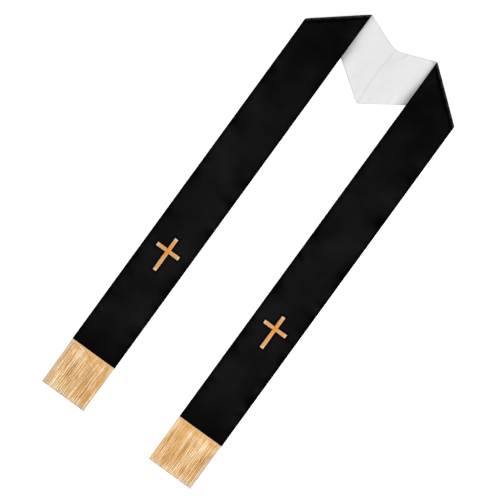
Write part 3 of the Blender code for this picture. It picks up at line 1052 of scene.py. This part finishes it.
            # Painted shade towards the shoulder fold and towards the hem
            shoulder_shading = ease((points[..., 1] - self.shoulder_fade_y) / self.shoulder_fade) * self.shoulder_shade
            hem_shading = ease((self.hem_fade_y - points[..., 1]) / self.hem_fade) * self.hem_shade
            shade = laid_over(painted_hollow_shade * level, np.maximum(shoulder_shading, hem_shading))
            # Painted highlight on the roll of the shoulder fold and painted shade in the hollow behind it
            shade = shade + self._fold_shade(points) * (front > 0.0)
            # Painted shade round the cross
            shade = laid_over(shade, self._cross_shadow(points) * level)
            push = np.exp(-outer / self.piping_reach) - np.exp(-inner / self.piping_reach)
            points = points + outward * (push * self.piping)[..., None]
        else:
            neck = 1.0 - ease(front / 0.05)
            dented = self._neck_dents(points) * neck * ease(across / 0.002)
            height = height + dented
            allowance = self.allowance_rise * mound(travelled - self.allowance_end, self.allowance_width)
            height = height + allowance * neck
            squeeze = (2.0 * shares - 1.0) * self.lining_inset * (1.0 - neck)
            points = points - outward * squeeze[..., None]
            # Painted shade along the centre-back seam
            painted_seam_shade = self.seam_shade * mound(travelled, self.seam_shade_reach)
            # Painted shadow of the front and painted seam shade, then painted shade in the dents and painted
            # light on their ridges
            shade = laid_over(self._front_shadow(points) * neck, painted_seam_shade) - self.dent_shade * dented / MM
        height = np.maximum(height, self.thinnest)
        moved = points + normal * (height * self.layer.value)[..., None]
        moved[..., 0] *= self.side.value
        faces = grid_faces(*inner.shape, self.side.value * self.layer.value < 0).tolist()
        # Painted shade along the long edges and the hem, laid over the rest; all of it goes to the material
        # as the edge number
        edge = laid_over(shade, mound(np.minimum(across, from_hem), self.edge_shade_reach) * self.edge_shade)
        made = make_object(self.name, moved, faces, self.finish.build_once(), edge=edge)
        self._unwrap(made.data, inner, travelled)
        wall = made.modifiers.new("cloth", "SOLIDIFY")
        wall.thickness = self.shell
        wall.offset = -1.0
        return take_place(made, self.side, self.layer.label)

    def _fold_shade(self, points: Array) -> Array:
        """The painted highlight on the roll of the shoulder fold, and the uneven painted shade in the hollow
        behind it.
        """
        depth = self.band.fold_depth(points[..., 0], points[..., 1])
        across = points[..., 0]
        uneven = 0.6 + 0.4 * np.sin(across / 0.0047 + self.side.value) * np.sin(across / 0.0131)
        broken = 0.65 + 0.35 * np.sin(across / 0.0031)
        light = mound(depth - self.fold_light_depth, self.fold_light_width) * broken
        painted_shade = mound(depth - self.fold_hollow_shade_depth, self.fold_hollow_shade_width)
        return self.fold_hollow_shade * uneven * painted_shade - self.fold_light * light

    def _front_shadow(self, points: Array) -> Array:
        """The painted shadow of the front on the lining beside its inner edge, deepest low down, with a
        narrow darker painted contact shadow at the edge.
        """
        gap = np.maximum(self.band.front_inner_x - points[..., 0], 0.0)
        low = 0.35 + 0.65 * ease((0.56 - points[..., 1]) / 0.09)
        broad = low * np.exp(-((gap / self.front_shadow_reach) ** 1.25))
        return laid_over(broad, self.contact_shadow * mound(gap, self.contact_shadow_reach))

    def _cross_shadow(self, points: Array) -> Array:
        """Painted shade on the satin round the embroidery."""
        cross = CrossSize()
        off_x = np.abs(points[..., 0] - cross.centre_x)
        off_y = points[..., 1] - cross.centre_y
        beyond_y = np.maximum(off_y - cross.top, -cross.foot - off_y)
        post = np.maximum(off_x - cross.half_bar, beyond_y)
        arms = np.maximum(off_x - cross.arm, np.abs(off_y) - cross.half_bar)
        gap = np.maximum(np.minimum(post, arms), 0.0)
        return mound(gap, self.cross_shade_reach) * self.cross_shade

    @staticmethod
    def _unwrap(mesh: bpy.types.Mesh, across: Array, along: Array) -> None:
        """Lay the cloth out flat in metres, so that its weave follows the band."""
        flat = np.stack([across, along], axis=2).reshape(-1, 2)
        corners = np.empty(len(mesh.loops), dtype=np.int32)
        mesh.loops.foreach_get("vertex_index", corners)
        made = mesh.uv_layers.new(name="cloth")
        made.data.foreach_set("uv", flat[corners].astype(np.float32).reshape(-1))


@dataclass(frozen=True)
class CrossSize:
    """The embroidered cross, on a front at +X."""

    centre_x: float = 0.1615
    centre_y: float = -0.1618
    top: float = 0.0363
    foot: float = 0.0571
    arm: float = 0.0325
    half_bar: float = 0.0049
    base_z: float = 0.00272
    rise: float = 0.00135
    thread_pitch: float = 0.00046


@dataclass
class EmbroideredCross:
    """A cross in satin stitch: threads laid side by side across each bar, domed over a padding."""

    side: Side
    finish: YarnFinish
    size: CrossSize = field(default_factory=CrossSize)
    rows_per_thread: int = 4
    columns: int = 15
    end_rounding: float = 0.0009
    thread_rise: float = 0.00009
    sunk: float = 0.0006
    # Tones of painted sheen on the bars' edges and tips, and of painted shade between the threads
    middle_tone: float = 0.42
    edge_tone: float = 0.18
    groove_shade_tone: float = 0.10
    tip_sheen: float = 0.75
    tip_length: float = 0.009
    edge_paleness: float = 0.45

    @property
    def name(self) -> str:
        """The piece's name."""
        return f"{self.side.label}_cross_stitching"

    def _bar(self, start: float, end: float, crosswise: bool, lift: float) -> tuple[Array, Array, Array]:
        """One bar of stitches, from start to end along its own length.

        Args:
            start: where it starts, from the crossing.
            end: where it ends.
            crosswise: whether it is an arm and not the post.
            lift: how much it lies over its neighbours.

        Returns:
            Its points by row and column, its tone with painted sheen and painted shade in it, and its
            paleness with painted sheen at the edges and tips.
        """
        size = self.size
        count = max(3, round((end - start) / size.thread_pitch))
        run = np.linspace(start, end, count * self.rows_per_thread + 1)
        thread = np.clip(np.floor((run - start) / (end - start) * count), 0, count - 1)
        phase = thread * 2.399 + (1.3 if crosswise else 0.0) + self.side.value
        ragged = 0.00012 * np.sin(phase * 1.7) + 0.00008 * np.sin(phase * 5.1)
        spread = np.sin(np.linspace(-math.pi / 2, math.pi / 2, self.columns))
        half = size.half_bar + ragged[:, None]
        sideways = spread[None, :] * half
        from_end = np.minimum(run - start, end - run)[:, None]
        dome = np.sqrt(np.clip(1.0 - np.abs(spread) ** 2.6, 0.0, 1.0))[None, :]
        rounded = outer_reach(from_end, self.end_rounding)
        groove = 0.5 - 0.5 * np.cos(2 * math.pi * (run - start) / (end - start) * count)
        ridge = self.thread_rise * groove[:, None] * dome
        height = size.base_z + (size.rise * dome + ridge) * rounded + lift * dome
        height = height + 0.00002 * np.sin(phase)[:, None]
        height = np.where(dome * rounded <= 0.0, size.base_z - self.sunk, height)
        along = np.broadcast_to(run[:, None], sideways.shape)
        if crosswise:
            plan = (size.centre_x + along, size.centre_y - sideways)
        else:
            plan = (size.centre_x + sideways, size.centre_y + along)
        points = np.stack([*plan, height], axis=2)
        # Painted sheen that changes from thread to thread and along the bar
        sheen = 0.07 * np.sin(phase * 3.3) + 0.05 * np.sin(run / 0.0041 + phase * 0.3)
        edge = np.abs(spread)[None, :] ** 3
        from_crossing = np.abs(run)[:, None] / (size.arm if crosswise else size.foot)
        from_tip = size.arm - np.abs(run)[:, None] if crosswise else from_end
        outward = 0.22 * ease(from_crossing * 2.5)
        # Painted shade between the threads, and painted sheen that makes the bars' edges and tips paler
        groove_shading = self.groove_shade_tone * (1.0 - groove[:, None])
        tone = self.middle_tone + sheen[:, None] + self.edge_tone * edge + outward - groove_shading
        painted_tip_sheen = self.tip_sheen * ease(1.0 - from_tip / self.tip_length)
        pale = np.maximum(painted_tip_sheen, self.edge_paleness * edge * ease(from_crossing * 2.0))
        return points, np.broadcast_to(tone, sideways.shape), np.broadcast_to(pale, sideways.shape)

    def build(self) -> bpy.types.Object:
        """Make the stitches and take the solid's place."""
        size = self.size
        tuck = 0.0012
        bars = (
            self._bar(-size.foot, size.top, False, 0.00012),
            self._bar(-size.arm, -size.half_bar + tuck, True, 0.0),
            self._bar(size.half_bar - tuck, size.arm, True, 0.0),
        )
        points, faces, tones, pales = [], [], [], []
        count = 0
        for index, (grid, tone, pale) in enumerate(bars):
            rows, columns = grid.shape[:2]
            flipped = (self.side is Side.LEFT) != (index == 0)
            faces.append(grid_faces(rows, columns, flipped) + count)
            points.append(grid.reshape(-1, 3))
            tones.append(tone.reshape(-1))
            pales.append(pale.reshape(-1))
            count += rows * columns
        places, quads = np.concatenate(points), np.concatenate(faces).tolist()
        places[:, 0] *= self.side.value
        painted = {"tone": np.concatenate(tones), "pale": np.concatenate(pales)}
        made = make_object(self.name, places, quads, self.finish.build_once(), **painted)
        return take_place(made, self.side, "cross")


@dataclass
class Fringe:
    """A fringe: a woven heading along the hem, and three layers of yarns in loose hanks."""

    side: Side
    finish: YarnFinish
    patches: tuple[Patch, ...]
    band: Band = field(default_factory=Band)
    gap: float = 0.0003
    heading_height: float = 0.0127
    root_share: float = 0.35
    end_y: float = -0.5982
    layers_z: tuple[float, ...] = (0.00048, 0.00095, 0.00140)
    yarns_a_layer: int = 104
    rings: int = 22
    corners: int = 6
    yarn_radius: float = 0.00063
    backing_swell: float = 1.35
    amber_tone: float = 0.3
    amber_pull: float = 2.2
    pale_strip: float = 0.0075
    edge_paleness: float = 0.6
    end_paleness: float = 0.34
    palest: float = 0.75
    middle_tone: float = 0.68
    hank_tone: float = 0.16
    yarn_tone: float = 0.22
    drift_tone: float = 0.20
    # Painted shade at the hanks' edges, and on the lower layers of yarns under the top one
    gap_tone: float = 0.50
    under_shade: float = 0.12
    end_tone: float = 0.20
    root_tone: float = 0.16
    hank_widths: tuple[float, float] = (0.0024, 0.0058)
    hank_rise: float = 0.00035
    gather: tuple[float, float] = (0.18, 0.42)
    jitter: float = 0.3
    layer_shift: float = 0.33
    edge_room: float = 0.012
    longest: float = 0.0012
    raggedness: float = 0.0011
    broad_wave: float = 0.00045
    small_wave: float = 0.00030
    own_wave: float = 0.00018
    heading_thickness: float = 0.00150
    heading_lift: float = 0.00012
    heading_slope: float = 0.00045
    heading_rounding: float = 0.0007
    rib_pitch: float = 0.00102
    rib_rise: float = 0.00013
    chains_at: tuple[float, ...] = (0.0016, 0.0098)
    chain_rise: float = 0.00028
    chain_width: float = 0.0006
    bead_pitch: float = 0.0021
    seed: int = 11

    def _in_patches(self, tone: Array, x: Array, y: Array) -> Array:
        """Draw a tone to amber in the deep patches, and raise it in the pale ones."""
        depth = patch_depth(self.patches, self.band.front_inner_x + x, y)
        raised = tone + 1.5 * np.maximum(-depth, 0.0)
        return raised + (self.amber_tone - raised) * np.clip(self.amber_pull * depth, 0.0, 1.0)

    def _beside_edges(self, place: Array | float) -> Array:
        """How much paler the fringe is in a strip at its outer edge and a narrow one at its inner edge."""
        outer = self.band.front_width - place
        return ease((self.pale_strip - outer) / 0.007 + 0.5) + 0.7 * ease((0.0045 - place) / 0.004)

    def _hanks(self, rng: np.random.Generator) -> tuple[Array, Array]:
        """Where the hanks' borders lie, and each one's tone."""
        widths = []
        while sum(widths) < self.band.front_width:
            widths.append(float(rng.uniform(*self.hank_widths)))
        borders = np.concatenate([[0.0], np.cumsum(widths)]) * self.band.front_width / sum(widths)
        return borders, rng.uniform(-1.0, 1.0, len(widths))

    def _yarns(self) -> tuple[Array, Array, Array, Array]:
        """The yarns' paths.

        Returns:
            The points by yarn and ring, each ring's radius, tone and paleness.
        """
        rng = np.random.default_rng(self.seed + (self.side is Side.LEFT))
        borders, hank_tones = self._hanks(rng)
        width = self.band.front_width
        root_y = self.band.hem_y - self.gap - self.root_share * self.heading_height
        share = np.linspace(0.0, 1.0, self.rings)
        places, tones, pales, radii = [], [], [], []
        for layer, layer_z in enumerate(self.layers_z):
            for index in range(self.yarns_a_layer):
                turn = index + 0.5 + rng.uniform(-self.jitter, self.jitter) + self.layer_shift * layer
                place = turn / (self.yarns_a_layer + 1) * width
                place = float(np.clip(place, self.yarn_radius, width - self.yarn_radius))
                hank = int(np.clip(np.searchsorted(borders, place) - 1, 0, len(hank_tones) - 1))
                middle = (borders[hank] + borders[hank + 1]) / 2
                half = (borders[hank + 1] - borders[hank]) / 2
                seat = (place - middle) / half
                room = min(1.0, place / self.edge_room, (width - place) / self.edge_room)
                length = root_y - self.end_y + self.longest - abs(float(rng.normal(0.0, self.raggedness)))
                drawn = rng.uniform(*self.gather) * ease(share * 1.6) * (layer > 0)
                phase = place / 0.009 + 0.8 * math.sin(place / 0.011) + 0.35 * layer
                wave = self.broad_wave * np.sin(2 * math.pi * share * 1.7 + phase)
                wave += self.small_wave * np.sin(2 * math.pi * share * 3.6 + 1.9 * phase)
                turns = 2 * math.pi * share * rng.uniform(2.0, 5.0)
                own = self.own_wave * np.sin(turns + rng.uniform(0.0, 6.3))
                x = place - (place - middle) * drawn + (wave * ease(share * 2.0) + own) * room
                x = np.clip(x, self.yarn_radius * 0.6, width - self.yarn_radius * 0.6)
                dome = self.hank_rise * (1.0 - seat * seat) * ease(share * 2.0)
                z = layer_z + dome + 0.00012 * np.sin(share * 21.0 + phase * 2.0) * ease(share * 4.0)
                z = np.maximum(z, self.yarn_radius + 0.00005)
                y = root_y - share * length
                places.append(np.column_stack([self.band.front_inner_x + x, y, z]))
                drift = np.sin(share * rng.uniform(6.0, 8.0) + hank * 2.6)
                drift = drift * math.sin(hank * 2.1 + self.side.value)
                fill = self.hank_tone * hank_tones[hank] + self.yarn_tone * rng.uniform(-1.0, 1.0)
                fill = fill + self.drift_tone * drift
                # Painted shade at the hanks' edges and on the lower layers
                painted_hollow_shade = -self.gap_tone * seat * seat - self.under_shade * (len(self.layers_z) - 1 - layer)
                ends = self.end_tone * ease((share - 0.8) / 0.2)
                roots = self.root_tone * (1.0 - ease(share * 6.0))
                tone = self.middle_tone + fill + painted_hollow_shade * ease(share * 3.0) + ends - roots
                tones.append(self._in_patches(tone, x, y))
                beside = self.edge_paleness * self._beside_edges(place)
                paleness = beside + self.end_paleness * ease((share - 0.88) / 0.12)
                pales.append(np.clip(paleness, 0.0, self.palest))
                full = self.yarn_radius * rng.uniform(0.85, 1.1) * (1.0 if layer else self.backing_swell)
                radii.append(full * (1.0 - 0.12 * ease((share - 0.9) / 0.1)))
        return np.array(places), np.array(radii), np.array(tones), np.array(pales)

    def build_yarns(self) -> bpy.types.Object:
        """Make the yarns as one piece."""
        paths, radii, tones, pales = self._yarns()
        yarns, rings = radii.shape
        turn = 2 * math.pi * np.arange(self.corners) / self.corners
        twist = np.arange(rings)[None, :, None] * 0.55 + np.arange(yarns)[:, None, None] * 1.1
        angle = turn[None, None, :] + twist
        ring = np.stack([np.cos(angle), np.zeros_like(angle), 0.86 * np.sin(angle)], axis=3)
        points = paths[:, :, None, :] + ring * radii[:, :, None, None]
        points[..., 2] = np.maximum(points[..., 2], 0.00002)
        points[..., 0] *= self.side.value
        first = np.arange(yarns)[:, None, None] * rings * self.corners
        along = first + np.arange(rings - 1)[None, :, None] * self.corners
        here = along + np.arange(self.corners)[None, None, :]
        beside = along + (np.arange(self.corners) + 1)[None, None, :] % self.corners
        quads = np.stack([here, here + self.corners, beside + self.corners, beside], axis=3).reshape(-1, 4)
        caps = (first[:, 0, :] + (rings - 1) * self.corners) + np.arange(self.corners)[None, :]
        if self.side is Side.RIGHT:
            quads, caps = quads[:, ::-1], caps[:, ::-1]
        tones, pales = (np.repeat(values.reshape(-1), self.corners) for values in (tones, pales))
        return self._make("yarns", points, quads.tolist() + caps.tolist(), tone=tones, pale=pales)

    def build_heading(self) -> bpy.types.Object:
        """Make the woven heading: fine ribs, and a chain of stitches near its top and its foot."""
        band = self.band
        columns, rows = 509, 23
        x = np.linspace(0.0, band.front_width, columns)
        depth = np.linspace(0.0, self.heading_height, rows)
        across, down = np.meshgrid(x, depth)
        ribs = np.cos(2 * math.pi * across / self.rib_pitch)
        chain = np.zeros_like(across)
        for at in self.chains_at:
            bead = 0.6 + 0.4 * np.cos(2 * math.pi * across / self.bead_pitch + at * 900)
            chain += self.chain_rise * bead * mound(down - at, self.chain_width)
        edge = outer_reach(np.minimum(down, self.heading_height - down), self.heading_rounding)
        side_edge = outer_reach(np.minimum(across, band.front_width - across), self.heading_rounding)
        slope = self.heading_slope * ease(down / self.heading_height)
        thickness = self.heading_thickness - slope + self.rib_rise * (0.5 + 0.5 * ribs) + chain
        z = self.heading_lift + thickness * edge * side_edge
        y = band.hem_y - self.gap - down
        points = np.stack([self.side.value * (band.front_inner_x + across), y, z], axis=2)
        faces = grid_faces(rows, columns, self.side is Side.LEFT).tolist()
        # The tone follows the ribs: painted shade in their hollows and painted light on their crests
        tone = self._in_patches(0.42 + 0.30 * mound(down, 0.0014) + 0.06 * ribs, across, y)
        pale = self.edge_paleness * self._beside_edges(across)
        return self._make("heading", points, faces, tone=tone, pale=pale)

    def _make(self, name: str, points: Array, faces: list, **painted: Array) -> bpy.types.Object:
        """Make one of the fringe's pieces and let it take the solid's place."""
        look = self.finish.build_once()
        made = make_object(f"{self.side.label}_fringe_{name}", points, faces, look, **painted)
        return take_place(made, self.side, "fringe")


@dataclass(frozen=True)
class SoftBox:
    """A square light that looks at the stole from a heading and an elevation, with its power in watts."""

    heading_deg: float
    elevation_deg: float
    power: float


@dataclass
class Studio:
    """A pale floor, soft boxes round the stole, two of them low, and a dim sky with a glow overhead."""

    floor_size: float = 9.0
    floor_z: float = -0.0002
    floor_colour: Colour = (0.93, 0.93, 0.93)
    floor_glow: float = 0.35
    sky: float = 0.12
    glow: float = 0.60
    glow_reach_deg: float = 26.0
    glow_core_deg: float = 9.0
    distance: float = 3.2
    box_size: float = 1.5
    boxes: tuple[SoftBox, ...] = (
        SoftBox(heading_deg=4, elevation_deg=24, power=82),
        SoftBox(heading_deg=94, elevation_deg=46, power=36),
        SoftBox(heading_deg=184, elevation_deg=26, power=44),
        SoftBox(heading_deg=274, elevation_deg=46, power=36),
    )

    def build(self) -> None:
        """Make floor, sky and lights."""
        made, sketch, shader = new_material("studio_floor")
        place = sketch.add("ShaderNodeTexCoord").outputs["Object"]
        grain = sketch.group(SharedEffects.VARIATION, Vector=place, Scale=3.0, Detail=2.0)
        low = tuple(0.985 * value for value in self.floor_colour)
        looks = {
            "Base Color": sketch.ramp(grain, {0.0: low, 1.0: self.floor_colour}),
            "Roughness": 0.9,
            "Specular IOR Level": 0.0,
            "Emission Color": (1.0, 1.0, 1.0, 1.0),
            "Emission Strength": self.floor_glow,
        }
        sketch.fill(shader, looks)
        half, z = self.floor_size / 2, self.floor_z
        corners = [(-half, -half, z), (half, -half, z), (half, half, z), (-half, half, z)]
        make_object("studio_floor", corners, [(0, 1, 2, 3)], made)
        self._build_sky()
        for index, box in enumerate(self.boxes):
            self._build_box(f"soft_box_{index + 1}", box)

    def _build_sky(self) -> None:
        """A dim sky with a soft bright patch straight overhead."""
        world = bpy.data.worlds.new("studio_sky")
        world.use_nodes = True
        sketch = NodeSketch(world.node_tree)
        ways = sketch.add("ShaderNodeSeparateXYZ", {0: sketch.add("ShaderNodeTexCoord").outputs["Generated"]})
        reach, core = (math.cos(math.radians(angle)) for angle in (self.glow_reach_deg, self.glow_core_deg))
        upward, kind = ways.outputs["Z"], "SMOOTHSTEP"
        glow = sketch.spread(upward, self.sky, self.glow, reach, core, interpolation_type=kind)
        sketch.fill(world.node_tree.nodes["Background"], {"Color": (1.0, 1.0, 1.0, 1.0), "Strength": glow})
        bpy.context.scene.world = world

    def _build_box(self, name: str, box: SoftBox) -> None:
        """Make one soft box."""
        light = bpy.data.lights.new(name, "AREA")
        light.shape = "SQUARE"
        light.size = self.box_size
        light.energy = box.power
        made = bpy.data.objects.new(light.name, light)
        lean = math.radians(90.0 - box.elevation_deg)
        turned = Matrix.Rotation(math.radians(box.heading_deg), 4, "Z") @ Matrix.Rotation(lean, 4, "Y")
        made.matrix_world = turned @ Matrix.Translation((0.0, 0.0, self.distance))
        bpy.context.scene.collection.objects.link(made)


@dataclass
class CameraRig:
    """A long lens that looks straight down, turned as the stole lies in the picture."""

    target: tuple[float, float] = (-0.0014, -0.0419)
    turn_deg: float = 36.05
    distance: float = 3.39
    focal_mm: float = 100.0
    sensor_mm: float = 36.0

    def build(self) -> bpy.types.Object:
        """Make the camera and use it."""
        lens = bpy.data.cameras.new("camera")
        lens.type = "PERSP"
        lens.lens = self.focal_mm
        lens.sensor_width = self.sensor_mm
        lens.clip_end = 30.0
        made = bpy.data.objects.new("camera", lens)
        made.location = (*self.target, self.distance)
        made.rotation_euler = (0.0, 0.0, math.radians(self.turn_deg))
        bpy.context.scene.collection.objects.link(made)
        bpy.context.scene.camera = made
        return made


@dataclass
class Stole:
    """The whole stole, built half by half."""

    flat_size: tuple[float, float] = (0.164, 1.219)
    flat_area: float = 0.153

    def build(self) -> None:
        creases = {
            Side.LEFT: (LEFT_INNER_CREASES, LEFT_OUTER_CREASES),
            Side.RIGHT: (RIGHT_INNER_CREASES, RIGHT_OUTER_CREASES),
        }
        patches = {Side.LEFT: LEFT_FRINGE_PATCHES, Side.RIGHT: RIGHT_FRINGE_PATCHES}
        for side in Side:
            inner, outer = creases[side]
            face = ClothPiece(side, Layer.FACE, BLACK_SATIN, inner, outer).build()
            LOG.info("built %s", face.name)
            # The lining's painted edge shade is fainter and narrower
            lining = ClothPiece(
                side, Layer.LINING, WHITE_LINING, dents=NECK_DENTS, edge_shade=0.12, edge_shade_reach=0.003
            ).build()
            LOG.info("built %s", lining.name)
            cross = EmbroideredCross(side, GOLD_THREAD).build()
            LOG.info("built %s", cross.name)
            fringe = Fringe(side, GOLD_FRINGE, patches[side])
            yarns, heading = fringe.build_yarns(), fringe.build_heading()
            LOG.info("built %s and %s", yarns.name, heading.name)


def main() -> None:
    """Build the scene in order."""
    logging.basicConfig(level=logging.INFO, format="%(message)s")
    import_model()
    SharedEffects().build()
    Studio().build()
    LOG.info("built the studio")
    Stole().build()
    CameraRig().build()
    LOG.info("built the camera")
    bpy.context.scene.view_settings.view_transform = "Standard"


if __name__ == "__main__":
    main()
